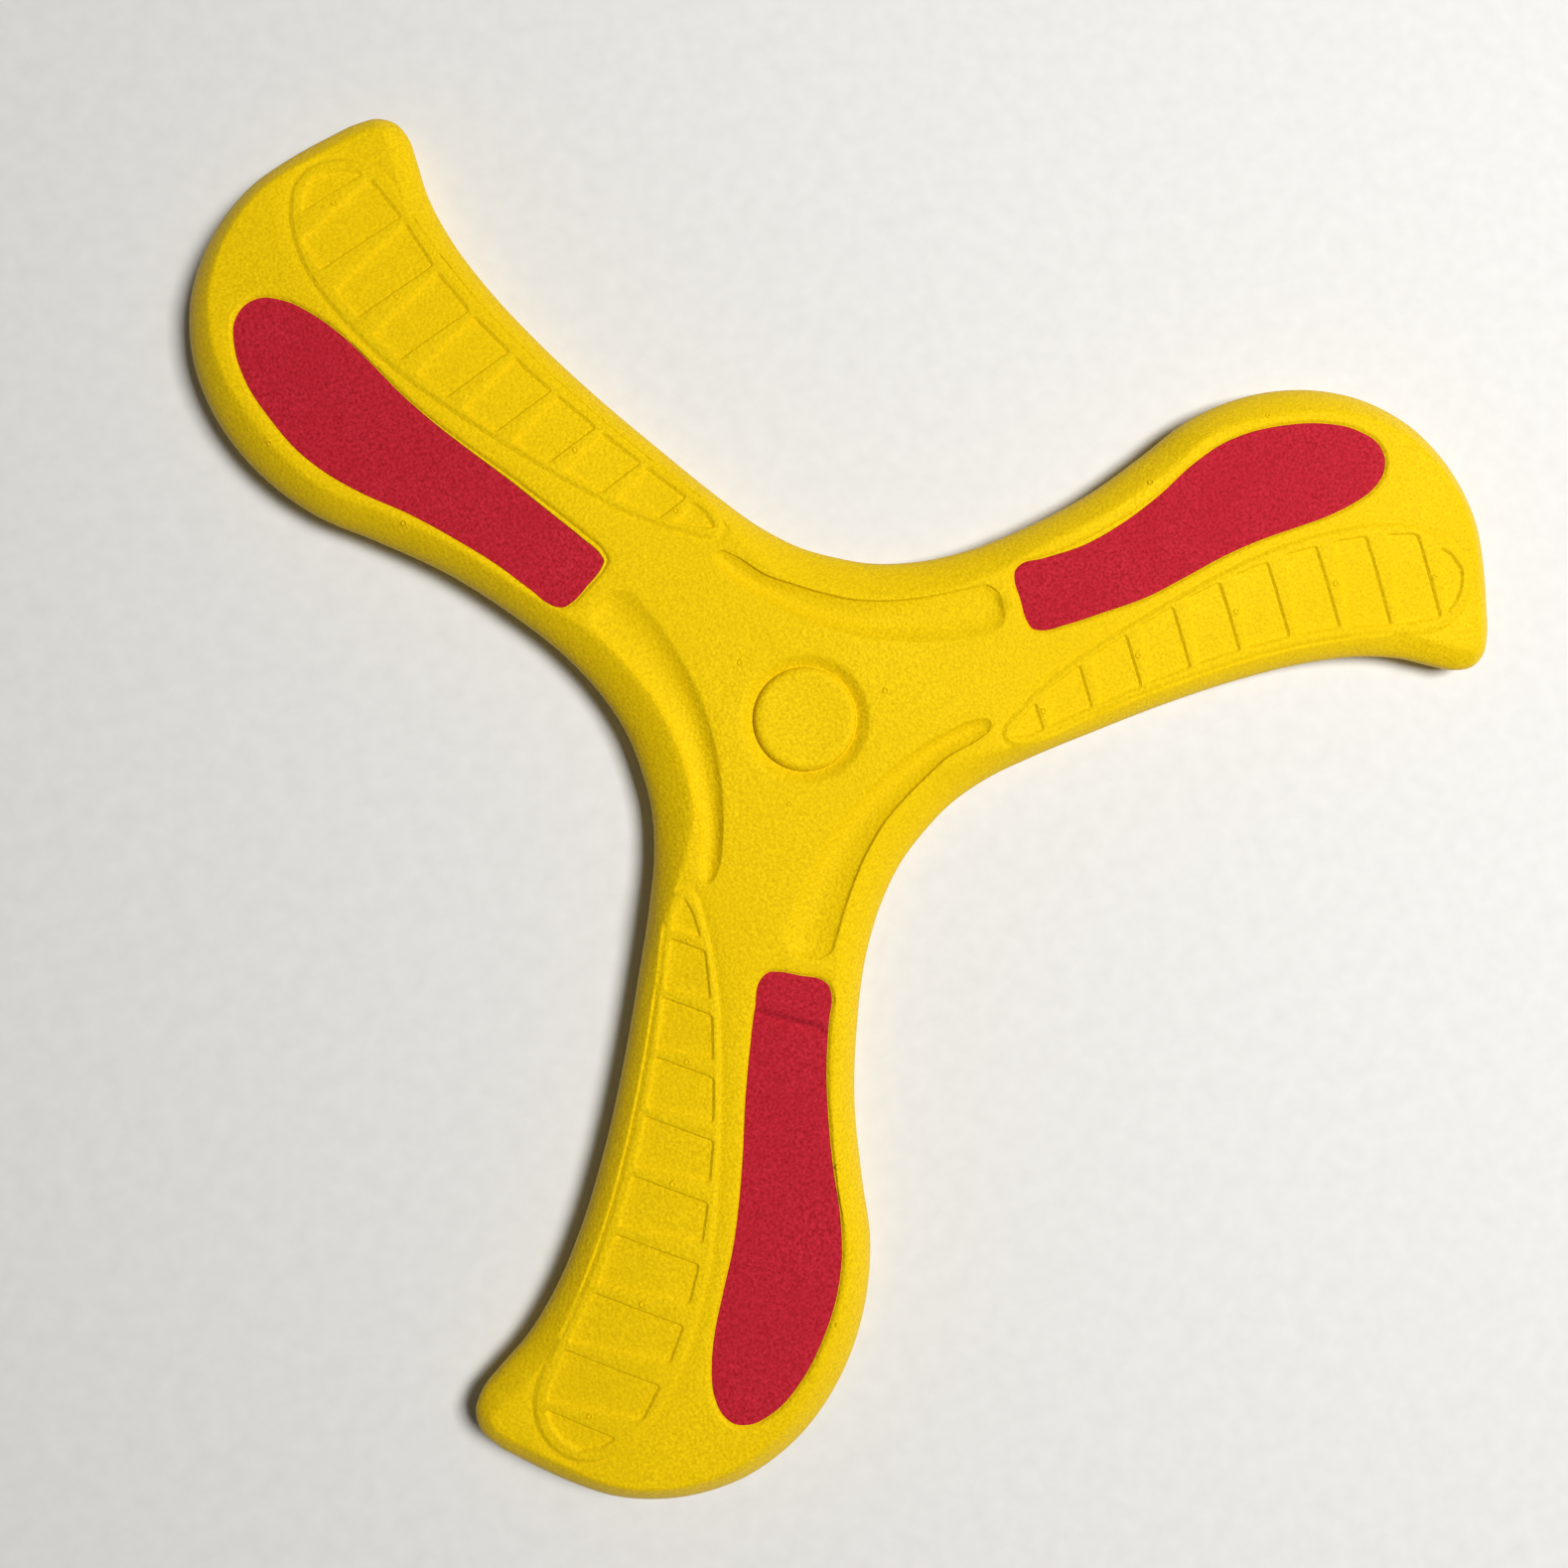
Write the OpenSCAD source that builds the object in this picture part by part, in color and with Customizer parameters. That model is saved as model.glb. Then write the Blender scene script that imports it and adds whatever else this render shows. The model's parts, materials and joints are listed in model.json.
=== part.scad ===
// Soft three-wing foam boomerang with three red foam inlays and a foam hub disc.
// Frame: millimetres, Z up, origin on the hub axis at the flat underside,
// wing 1 along +X with its thick leading edge on the +Y side.

/* [Overall] */
// Diameter of the circle that the three wing tips sweep
span = 290; // [240:1:350]
// Height from the flat underside to the top of the raised ladder fields
thickness = 12; // [10:0.2:14.6]
// How far the top falls toward the trailing edge of each wing
trail_drop = 1.2; // [0:0.1:1.6]

/* [Rounded rim] */
// Height of the widest line of the rim, as a share of the thickness
seam_share = 0.48; // [0.4:0.02:0.6]
// Width of the rounded upper rim, against the width drawn in the outline
rim_scale = 1; // [0.8:0.05:1.1]
// Width of the rounded lower rim, as a share of the upper one
under_share = 0.6; // [0.4:0.05:0.8]

/* [Inlays] */
// Thickness of the red die-cut foam inlay
inlay_thick = 2; // [1.2:0.1:4.4]
// How far the top of the inlay lies below the top of the body
inlay_sink = 0.4; // [0.1:0.1:1]
// Gap between the inlay and the wall of its pocket
inlay_gap = 0.3; // [0.3:0.1:0.6]
// Thickness of the adhesive films
film_thick = 0.2; // [0.1:0.05:0.4]
// How far each adhesive film ends inside the piece that it holds
film_inset = 0.8; // [0.3:0.1:1.6]

/* [Hub disc] */
// Diameter of the foam disc at the hub
disc_d = 19.6; // [16:0.2:23.6]
// Thickness of the hub disc
disc_thick = 1.7; // [1:0.1:2.4]
// Gap between the disc and the wall of its pocket
disc_gap = 0.3; // [0.3:0.1:0.6]
// Width of the sloping groove around the pocket of the disc
moat_w = 1.9; // [1:0.1:2.2]
// Depth of that groove at its inner edge
moat_depth = 0.7; // [0.4:0.1:0.9]
// Size of the bevel around the top of the disc
disc_bevel = 0.6; // [0.2:0.1:0.8]
// How far the top of the disc lies below the top of the body
disc_sink = 0.1; // [0:0.05:0.4]

/* [Surface relief] */
// Depth of the crescent scoops between the wings
scoop_depth = 1.3; // [0.6:0.1:1.6]
// Height of the raised field around the ladder panels on each wing
field_rise = 0.3; // [0.1:0.05:0.4]
// Depth of the ladder panels below the top of their field
panel_depth = 0.6; // [0.45:0.05:0.8]
// Width of the bars between the ladder panels at their foot
bar_w = 1.4; // [1:0.2:2.4]

/* [Hidden] */

k = span / 290;              // scale of the plan against the drawn outline
top = thickness - field_rise;
seam_z = thickness * seam_share;
pocket_floor = top - inlay_sink - inlay_thick - film_thick;
disc_floor = top - disc_sink - disc_thick - film_thick;
edge_steps = 2;              // curve steps between two edge points
rim_steps = 5;               // rings of the upper rim
rim_arc = 60;                // part of a quarter turn that the upper rim rounds
under_steps = 3;             // rings of the lower rim
strip_cuts = [0, 0.18, 0.38, 0.6, 1];  // chordwise lines, trailing to leading
$fn = 96;

// Trailing side of wing 1, from the bay to the tip: x, y, rim width
trail_side = [
  [16.05, -27.8, 7], [22, -24.7, 6.5], [30, -22.3, 5.5], [41, -20.9, 4.3],
  [54, -20.1, 3.6], [70, -19.4, 3.4], [86, -19.5, 3.4], [100, -20.6, 3.5],
  [112, -22.9, 4], [121, -26.2, 4.2], [127, -29.7, 4.2], [131, -31.8, 4],
  [134.3, -32.2, 3.4], [137.4, -30.6, 3.2], [139.5, -27.2, 3.4],
  [141.4, -21.5, 3.6], [143.6, -13, 3.8], [144.8, -4.5, 4]];

// Leading side of wing 1, from the bay to the tip: x, y, rim width
lead_side = [
  [16.05, 27.8, 7], [22, 24.8, 7], [30, 22.5, 6.8], [41, 21.4, 6.2],
  [54, 22.3, 5.8], [68, 24.7, 5.7], [82, 29.1, 5.8], [93, 33, 5.9],
  [103, 34.3, 5.9], [113, 33.6, 5.9], [122, 31, 5.6], [129, 27.3, 5.3],
  [134, 23.2, 5], [138, 18.6, 4.7], [140.8, 13.8, 4.5], [142.9, 8.6, 4.3],
  [144.3, 2.6, 4.1]];

// Edge of the inlay of wing 1, against the clock: x, y, extra pocket slack
inlay_edge = [
  [48.9, 2.4, 0], [54, 2.2, 0], [62, 2.6, 0.2], [71, 3.3, 0.5], [80, 4.5, 0.5],
  [89, 5.7, 0.2], [97, 6.2, 0], [105, 6.1, 0], [112, 6.2, 0], [118, 6.9, 0],
  [123.2, 8.5, 0], [126.7, 11, 0], [127.9, 13.6, 0], [127.3, 16.4, 0],
  [123.8, 20.5, 0], [117.4, 24.1, 0], [110, 26.1, 0], [103, 26.9, 0],
  [96.4, 26.5, 0], [88.8, 24.6, 0.1], [79.9, 21.2, 0.3], [71, 18.5, 0.5],
  [62, 16.6, 0.4], [54, 15.9, 0.2], [49, 15.6, 0], [47.5, 14.8, 0],
  [47, 13.4, 0], [46.9, 9, 0], [47, 4.7, 0], [47.5, 3.1, 0]];

// Crescent scoop beside wing 1: hub-side edge, outer edge, share of the depth
scoop_rows = [
  [[-7.1, 34.7], [-5.2, 35], 0.2], [[-6.4, 31.6], [-3.5, 33.8], 0.6],
  [[-2.5, 25.8], [1.9, 28.6], 0.9], [[1.9, 21.1], [6.3, 25], 1],
  [[7, 16.7], [11.3, 21.7], 1], [[12.5, 12.9], [16.3, 18.9], 1],
  [[18.5, 9.8], [22.5, 16.8], 1], [[25, 7.3], [28.8, 15.4], 0.95],
  [[31.5, 5.5], [34.5, 14.6], 0.85], [[37, 4.7], [39.4, 14.2], 0.75],
  [[41.3, 4.9], [42, 13.5], 0.6], [[43, 7], [43.2, 11.6], 0.4]];

// Upper and lower edge of the ladder of panels on wing 1: x, y
ladder_top = [
  [36.8, -15.3], [39.5, -13], [46, -9.2], [57, -5.6], [68, -2.9], [79, -0.6],
  [90, 0.8], [101, 1.5], [111, 1.1], [121, -0.4], [128.6, -2.6],
  [132.3, -6.2], [134.8, -8.6], [136.3, -12.3]];
ladder_foot = [
  [36.8, -15.3], [40, -16.4], [50, -15.5], [66, -14.2], [82, -13.5],
  [97, -14.2], [108, -15.8], [119, -18.7], [128, -20.3], [131, -19.8],
  [133.5, -18.1], [135.3, -15.6], [136.3, -12.3]];
// Upper and lower edge of the raised field around the ladder: x, y
field_top = [
  [35.3, -14.5], [36.3, -13.3], [39.5, -11.5], [46, -8.3], [54, -5.4],
  [63, -3.1], [74, -0.7], [84.5, 1.2], [94, 2.6], [103, 3.2], [111, 2.9],
  [118.5, 2], [126, 0], [131.6, -3.2], [135.5, -6.8], [137.9, -12.8]];
field_foot = [
  [35.3, -14.5], [35.8, -16.3], [37, -17.2], [40, -17.7], [45, -17.3],
  [54, -16.3], [65, -15.6], [77, -15.3], [88, -15.5], [98, -16.2],
  [108, -17.7], [116, -19.5], [122, -21.4], [127.7, -22.4], [132.3, -21.4],
  [135.8, -18.6], [137.5, -15.3], [137.9, -12.8]];
panel_x = 44.8;              // foot of the second panel
panel_pitch = 10.72;
panel_lean = 0.15;

function turn(p, a) = [p.x * cos(a) - p.y * sin(a), p.x * sin(a) + p.y * cos(a)];
function flat(p) = [p.x, p.y];
function slope(a, b, c) =
  let (u = norm(b - a), v = norm(c - b)) ((b - a) * v / u + (c - b) * u / v) / (u + v);
function blend(a, b, ma, mb, t) =
  let (d = norm(b - a), s = t * t, c = t * s)
  a * (2 * c - 3 * s + 1) + ma * d * (c - 2 * s + t) + b * (3 * s - 2 * c) + mb * d * (c - s);

// Smooth closed curve through the points of a list
function ring_curve(p, steps) =
  let (n = len(p))
  [for (i = [0:n - 1])
    let (a = p[(i + n - 1) % n], b = p[i], c = p[(i + 1) % n], e = p[(i + 2) % n])
    for (j = [0:steps - 1]) blend(b, c, slope(a, b, c), slope(b, c, e), j / steps)];

// Unit vector to the left of a closed curve at one of its points
function inward(p, i) =
  let (n = len(p), d = flat(p[(i + 1) % n]) - flat(p[(i + n - 1) % n]))
  [-d.y, d.x] / norm(d);

// Closed curve moved outward by a fixed distance and its own slack
function grown(p, by, slack) =
  [for (i = [0:len(p) - 1]) flat(p[i]) * k - inward(p, i) * (by + slack * p[i].z)];

function ramp(t) = let (u = min(1, max(0, t))) u * u * (3 - 2 * u);

// Height of the top surface at a point of wing 1
function top_z(p) =
  let (q = p / k, t = min(2, max(0, (1.5 - q.y) / 16)))
  top - trail_drop * ramp((q.x - 25) / 35) * (1 - cos(90 * t));

wing_edge = concat(trail_side, [for (i = [16:-1:1]) lead_side[i]]);
edge_ctrl = [for (w = [0:2]) for (p = wing_edge) concat(turn(p, 120 * w), [p.z])];
edge = ring_curve(edge_ctrl, edge_steps);
edge_n = len(edge);
half = 17 * edge_steps;
outer = [for (p = edge) flat(p) * k];
ridge = [for (i = [0:edge_n - 1]) outer[i] + inward(edge, i) * edge[i].z * k * rim_scale];
ridge_z = [for (i = [0:edge_n - 1])
  let (w = floor(i / (2 * half))) top_z(turn(ridge[i], -120 * w))];

// One point of a rim ring: how far inward (0 edge, 1 ridge) and its height
function rim_point(i, share, z) = concat(outer[i] + (ridge[i] - outer[i]) * share, [z]);

rings = under_steps + rim_steps + 1;
last_cut = len(strip_cuts) - 1;
inner_n = last_cut - 1;

// Index of a vertex of the top: wing, row from the bay to the tip, line
function top_at(w, i, q) =
  i == half || q == 0 ? (rings - 1) * edge_n + w * 2 * half + i
  : q == last_cut ? (rings - 1) * edge_n + (w * 2 * half + 2 * half - i) % edge_n
  : rings * edge_n + (w * half + i) * inner_n + q - 1;

function top_inner(w, i, q) =
  let (a = ridge[w * 2 * half + i], b = ridge[(w * 2 * half + 2 * half - i) % edge_n],
       p = a + (b - a) * strip_cuts[q])
  concat(p, [top_z(turn(p, -120 * w))]);

module body_blank() {
  under = [for (r = [0:under_steps - 1]) let (a = 90 * r / under_steps)
    for (i = [0:edge_n - 1]) rim_point(i, under_share * (1 - sin(a)), seam_z * (1 - cos(a)))];
  upper = [for (r = [0:rim_steps]) let (a = rim_arc * r / rim_steps)
    for (i = [0:edge_n - 1])
      rim_point(i, (1 - cos(a)) / (1 - cos(rim_arc)),
                seam_z + (ridge_z[i] - seam_z) * sin(a) / sin(rim_arc))];
  inner = [for (w = [0:2]) for (i = [0:half - 1]) for (q = [1:last_cut - 1]) top_inner(w, i, q)];
  hub_top = rings * edge_n + len(inner);
  hub_low = hub_top + 1;
  wall = [for (r = [0:rings - 2]) for (i = [0:edge_n - 1]) let (j = (i + 1) % edge_n)
    for (f = [[r * edge_n + i, (r + 1) * edge_n + i, (r + 1) * edge_n + j],
              [r * edge_n + i, (r + 1) * edge_n + j, r * edge_n + j]]) f];
  roof = [for (w = [0:2]) for (i = [0:half - 1]) for (q = [0:last_cut - 1])
    let (a = top_at(w, i, q), b = top_at(w, i, q + 1),
         c = top_at(w, i + 1, q + 1), d = top_at(w, i + 1, q))
    for (f = c == d ? [[a, b, d]] : [[a, b, c], [a, c, d]]) f];
  hub_roof = [for (w = [0:2]) for (q = [0:last_cut - 1])
    [top_at(w, 0, q + 1), top_at(w, 0, q), hub_top]];
  sole = [for (w = [0:2]) for (i = [0:half - 1])
    let (a = w * 2 * half + i, b = (w * 2 * half + 2 * half - i) % edge_n,
         c = w * 2 * half + 2 * half - i - 1, d = a + 1)
    for (f = c == d ? [[a, d, b]] : [[a, d, c], [a, c, b]]) f];
  hub_sole = [for (w = [0:2]) [w * 2 * half, (w + 1) * 2 * half % edge_n, hub_low]];
  polyhedron(
    points = concat(under, upper, inner, [[0, 0, top], [0, 0, 0]]),
    faces = concat(wall, roof, hub_roof, sole, hub_sole));
}

// Cutter between two edges: its floor follows the top surface of wing 1
module relief(near, far, cuts, depths) {
  n = len(near);
  m = len(cuts);
  bed = [for (i = [0:n - 1]) for (q = [0:m - 1])
    let (p = near[i] + (far[i] - near[i]) * cuts[q]) concat(p, [top_z(p) - depths[i][q]])];
  lid = [for (i = [0:n - 1]) for (p = [near[i], far[i]]) concat(p, [top + 1])];
  base = n * m;
  polyhedron(
    points = concat(bed, lid),
    faces = concat(
      [for (i = [0:n - 2]) for (q = [0:m - 2]) let (a = i * m + q)
        for (f = [[a + m + 1, a + 1, a], [a + m, a + m + 1, a]]) f],
      [for (i = [0:n - 2]) let (a = i * m, b = a + m - 1, t = base + 2 * i)
        for (f = [[a + m, a, t], [t + 2, a + m, t], [b, b + m, t + 1],
                  [b + m, t + 3, t + 1], [t + 3, t + 2, t], [t + 1, t + 3, t]]) f],
      [for (q = [0:m - 2]) [q, q + 1, base]],
      [[m - 1, base + 1, base]],
      [for (q = [n * m - m:n * m - 2]) [q + 1, q, base + 2 * n - 2]],
      [[base + 2 * n - 1, n * m - 1, base + 2 * n - 2]]));
}

module scoop() {
  relief(
    [for (r = scoop_rows) r[0] * k],
    [for (r = scoop_rows) r[1] * k],
    [0, 0.2, 0.42, 0.94, 1],
    [for (r = scoop_rows) [-0.3, 0.6, 1, 0.5, -0.3] * scoop_depth * r[2]]);
}

module ladder_field() {
  intersection() {
    translate([0, 0, field_rise]) body_blank();
    for (w = [0:2]) rotate([0, 0, 120 * w])
      translate([0, 0, seam_z]) linear_extrude(thickness) polygon(
        concat([for (p = field_foot) p * k],
               [for (i = [len(field_top) - 2:-1:1]) field_top[i] * k]));
  }
}

module panel(i) {
  left = i == 0 ? ladder_foot[0].x : panel_x + panel_pitch * (i - 1);
  right = i == 9 ? ladder_foot[12].x : panel_x + panel_pitch * i - bar_w;
  cols = i == 9 ? [0.02, 0.3, 0.6, 0.85, 0.97] : i == 0 ? [0.05, 0.3, 0.65, 1] : [0, 0.33, 0.67, 1];
  foot = [for (u = cols) let (x = left + (right - left) * u) [x, lookup(x, ladder_foot)]];
  head = [for (j = [0:len(cols) - 1])
    let (rise = lookup(foot[j].x, ladder_top) - foot[j].y,
         x = foot[j].x + panel_lean * rise * (1 - cols[j]))
    [x, lookup(x, ladder_top)]];
  relief(
    [for (p = foot) p * k], [for (p = head) p * k],
    [0, 0.33, 0.67, 1], [for (u = cols) [1, 1, 1, 1] * (panel_depth - field_rise)]);
}

module inlay_plan(by, slack) {
  polygon(grown(ring_curve(inlay_edge, 3), by, slack));
}

module foam_body() color([0.92, 0.77, 0.03]) {
  difference() {
    union() {
      body_blank();
      ladder_field();
    }
    translate([0, 0, disc_floor]) cylinder(d = disc_d + 2 * disc_gap, h = thickness);
    translate([0, 0, top - moat_depth])
      cylinder(d1 = disc_d + 2 * disc_gap, d2 = disc_d + 2 * disc_gap + 4 * moat_w, h = 2 * moat_depth);
    for (w = [0:2]) rotate([0, 0, 120 * w]) {
      translate([0, 0, pocket_floor]) linear_extrude(thickness) inlay_plan(inlay_gap, 1);
      scoop();
      for (i = [0:9]) panel(i);
    }
  }
}

module hub_disc() color([0.95, 0.82, 0.1])
  translate([0, 0, disc_floor + film_thick]) {
    cylinder(d = disc_d, h = disc_thick - disc_bevel);
    translate([0, 0, disc_thick - disc_bevel])
      cylinder(d1 = disc_d, d2 = disc_d - 2 * disc_bevel, h = disc_bevel);
  }

module hub_disc_film() color([0.85, 0.84, 0.78])
  translate([0, 0, disc_floor]) cylinder(d = disc_d - 2 * film_inset, h = film_thick);

module inlay(w) color([0.72, 0.12, 0.17])
  rotate([0, 0, 120 * w]) translate([0, 0, pocket_floor + film_thick])
    linear_extrude(inlay_thick) inlay_plan(0, 0);

module inlay_film(w) color([0.85, 0.84, 0.78])
  rotate([0, 0, 120 * w]) translate([0, 0, pocket_floor])
    linear_extrude(film_thick) inlay_plan(-film_inset, 0);

module inlay_1() inlay(0);
module inlay_2() inlay(1);
module inlay_3() inlay(2);
module inlay_film_1() inlay_film(0);
module inlay_film_2() inlay_film(1);
module inlay_film_3() inlay_film(2);

foam_body();
hub_disc();
hub_disc_film();
inlay_1();
inlay_2();
inlay_3();
inlay_film_1();
inlay_film_2();
inlay_film_3();
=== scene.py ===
import bpy
import json
import numpy as np
from mathutils import Matrix, Vector, kdtree
from mathutils.geometry import delaunay_2d_cdt

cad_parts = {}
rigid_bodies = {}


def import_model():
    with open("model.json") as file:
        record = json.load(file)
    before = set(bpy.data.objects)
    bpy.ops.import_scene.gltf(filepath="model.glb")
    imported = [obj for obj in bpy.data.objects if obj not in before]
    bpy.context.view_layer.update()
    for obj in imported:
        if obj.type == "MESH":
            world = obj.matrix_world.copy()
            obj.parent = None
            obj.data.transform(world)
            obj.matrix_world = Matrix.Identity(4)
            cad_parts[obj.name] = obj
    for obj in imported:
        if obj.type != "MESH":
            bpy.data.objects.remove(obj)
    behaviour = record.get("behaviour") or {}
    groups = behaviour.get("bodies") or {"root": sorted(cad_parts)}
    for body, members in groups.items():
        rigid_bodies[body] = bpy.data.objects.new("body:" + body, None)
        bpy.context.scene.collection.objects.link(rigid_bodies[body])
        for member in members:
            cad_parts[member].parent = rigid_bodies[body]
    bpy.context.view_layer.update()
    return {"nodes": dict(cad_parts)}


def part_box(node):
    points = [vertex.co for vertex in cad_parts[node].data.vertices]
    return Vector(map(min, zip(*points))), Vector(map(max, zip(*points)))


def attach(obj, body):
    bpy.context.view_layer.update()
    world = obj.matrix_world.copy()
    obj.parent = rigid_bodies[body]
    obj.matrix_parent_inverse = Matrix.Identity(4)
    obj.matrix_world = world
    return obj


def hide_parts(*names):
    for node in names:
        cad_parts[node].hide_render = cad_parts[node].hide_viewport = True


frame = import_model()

mm = 0.001
fieldRise = 0.3  # mm that the ladder fields stand above the rest of the top
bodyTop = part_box("foam_body")[1].z / mm - fieldRise
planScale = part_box("foam_body")[1].x / mm / 144.8  # plan sizes below are for a span of 290 mm
seamZ = (bodyTop + fieldRise) * 0.48  # widest line of the rim
print("frame loaded, body top at", round(bodyTop, 2), "mm")


# curves

def unit(v):
    return v / np.maximum(np.linalg.norm(v, axis=-1, keepdims=True), 1e-12)


def turned(p, degrees):
    a = np.radians(degrees)
    p = np.asarray(p, float)
    return np.stack([p[..., 0] * np.cos(a) - p[..., 1] * np.sin(a),
                     p[..., 0] * np.sin(a) + p[..., 1] * np.cos(a)], -1)


def hermite(a, b, slopeA, slopeB, length, t):
    t = t[None, :, None]
    a, b = a[:, None], b[:, None]
    slopeA, slopeB = slopeA[:, None] * length[:, None], slopeB[:, None] * length[:, None]
    return (a * (2 * t**3 - 3 * t**2 + 1) + slopeA * (t**3 - 2 * t**2 + t)
            + b * (3 * t**2 - 2 * t**3) + slopeB * (t**3 - t**2))


def closedCurve(points, steps):
    p = np.array(points, float)
    before, after = p - np.roll(p, 1, 0), np.roll(p, -1, 0) - p
    u = np.linalg.norm(before, axis=1, keepdims=True)
    v = np.linalg.norm(after, axis=1, keepdims=True)
    slope = (before * v / u + after * u / v) / (u + v)
    out = hermite(p, np.roll(p, -1, 0), slope, np.roll(slope, -1, 0), v, np.arange(steps) / steps)
    return out.reshape(-1, p.shape[1])


def openCurve(points, steps):
    p = np.array(points, float)
    d = np.diff(p, axis=0)
    n = np.linalg.norm(d[:, :2], axis=1, keepdims=True)
    inner = (d[:-1] * n[1:] / n[:-1] + d[1:] * n[:-1] / n[1:]) / (n[:-1] + n[1:])
    slope = np.vstack([d[:1] / n[:1], inner, d[-1:] / n[-1:]])
    out = hermite(p[:-1], p[1:], slope[:-1], slope[1:], n, np.arange(steps) / steps)
    return np.vstack([out.reshape(-1, p.shape[1]), p[-1:]])


def evenly(loop, spacing):
    closed = np.vstack([loop, loop[:1]])
    run = np.r_[0, np.cumsum(np.linalg.norm(np.diff(closed[:, :2], axis=0), axis=1))]
    count = max(8, int(round(run[-1] / spacing)))
    at = np.arange(count) * run[-1] / count
    return np.stack([np.interp(at, run, closed[:, i]) for i in range(loop.shape[1])], -1)


def inward(loop):  # unit vectors to the left of a counter-clockwise loop
    d = unit(np.roll(loop, -1, 0) - np.roll(loop, 1, 0))
    return np.stack([-d[:, 1], d[:, 0]], -1)


def softened(loop, passes):
    for _ in range(passes):
        loop = loop / 2 + (np.roll(loop, 1, 0) + np.roll(loop, -1, 0)) / 4
    return loop


def isInside(points, loop):
    hit = np.zeros(len(points), bool)
    px, py = points[:, 0], points[:, 1]
    for a, b in zip(loop, np.roll(loop, -1, 0)):
        if a[1] != b[1]:
            crosses = (a[1] > py) != (b[1] > py)
            hit ^= crosses & (px < (b[0] - a[0]) * (py - a[1]) / (b[1] - a[1]) + a[0])
    return hit


def triangulated(points, lines):
    return delaunay_2d_cdt([Vector(p[:2]) for p in points], lines, [], 0, 1e-5, True)


def faceUp(tri, points):  # turns clockwise triangles round
    a, b, c = points[tri[:, 0]], points[tri[:, 1]], points[tri[:, 2]]
    turn = (b[:, 0] - a[:, 0]) * (c[:, 1] - a[:, 1]) - (b[:, 1] - a[:, 1]) * (c[:, 0] - a[:, 0])
    tri[turn < 0] = tri[turn < 0][:, ::-1]
    return tri


def filled(points, rim):  # triangles inside the outline made by the first points
    out = triangulated(points, [(k, (k + 1) % rim) for k in range(rim)])
    first = np.array([s[0] for s in out[3]])
    tri = first[np.array(out[2])]
    flat = np.asarray(points)[:, :2]
    return faceUp(tri[isInside(flat[tri].mean(1), flat[:rim])], flat)


def ringFaces(rings, n):  # quads between rings of n points that follow each other
    return [[q * n + k, q * n + (k + 1) % n, (q + 1) * n + (k + 1) % n, (q + 1) * n + k]
            for q in range(rings - 1) for k in range(n)]


def spacedGrid(x, y, step):  # staggered rows of points
    gx, gy = np.meshgrid(np.arange(*x, step), np.arange(*y, step * 0.866))
    gx[1::2] += step / 2
    return np.stack([gx.ravel(), gy.ravel()], -1)


def meshObject(name, verts, faces, material, smooth=True):
    mesh = bpy.data.meshes.new(name)
    mesh.from_pydata([tuple(v) for v in np.asarray(verts) * mm], [], [tuple(f) for f in faces])
    mesh.validate()
    mesh.polygons.foreach_set("use_smooth", [smooth] * len(mesh.polygons))
    mesh.materials.append(material)
    mesh.update()
    obj = bpy.data.objects.new(name, mesh)
    bpy.context.scene.collection.objects.link(obj)
    return obj


# materials

def nodeMaterial(name):
    material = bpy.data.materials.new(name)
    material.use_nodes = True
    tree = material.node_tree
    tree.nodes.clear()
    return material, tree


def add(tree, kind, values=None, links=None, **settings):
    node = tree.nodes.new(kind)
    for key, value in settings.items():
        setattr(node, key, value)
    for key, value in (values or {}).items():
        node.inputs[key].default_value = value
    for key, source in (links or {}).items():
        tree.links.new(source, node.inputs[key])
    return node


def shareOf(tree, value, low, high, toLow=0.0, toHigh=1.0):  # moves a range onto another
    return add(tree, "ShaderNodeMapRange",
               {"From Min": low, "From Max": high, "To Min": toLow, "To Max": toHigh},
               {"Value": value}).outputs["Result"]


def foamMaterial(name, look):
    material, tree = nodeMaterial(name)
    place = add(tree, "ShaderNodeTexCoord").outputs["Object"]
    grain = add(tree, "ShaderNodeTexVoronoi", {"Scale": 1000 / look["grainSize"], "Randomness": 1},
                {"Vector": place}, feature="F1").outputs["Distance"]
    fine = add(tree, "ShaderNodeTexNoise",
               {"Scale": 1000 / look["fineSize"], "Detail": 2.0, "Roughness": 0.6},
               {"Vector": place}).outputs["Fac"]
    broad = add(tree, "ShaderNodeTexNoise", {"Scale": 1000 / look["patchSize"], "Detail": 3.0},
                {"Vector": place}).outputs["Fac"]
    height = add(tree, "ShaderNodeMath", {1: look["fineShare"]},
                 {0: fine, 2: shareOf(tree, grain, 0.0, 0.75, 1.0, 0.0)}, operation="MULTIPLY_ADD")
    base = add(tree, "ShaderNodeMix", {6: look["dark"], 7: look["light"]},
               {0: shareOf(tree, fine, 0.3, 0.7)}, data_type="RGBA")
    patch = shareOf(tree, broad, 0.35, 0.65, 0.0, look["patchShare"])
    colour = add(tree, "ShaderNodeMix", {7: look["patch"]}, {0: patch, 6: base.outputs[2]},
                 data_type="RGBA")
    rough = shareOf(tree, broad, 0.3, 0.7, look["rough"] - 0.06, look["rough"] + 0.06)
    bump = add(tree, "ShaderNodeBump", {"Strength": look["bump"], "Distance": look["depth"] * mm},
               {"Height": height.outputs[0]})
    shader = add(tree, "ShaderNodeBsdfPrincipled",
                 {"Specular IOR Level": look["gloss"], "Specular Tint": look["glint"],
                  "Sheen Weight": look["sheen"], "Sheen Roughness": 0.5},
                 {"Base Color": colour.outputs[2], "Roughness": rough,
                  "Normal": bump.outputs["Normal"]})
    add(tree, "ShaderNodeOutputMaterial", links={"Surface": shader.outputs["BSDF"]})
    return material


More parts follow.
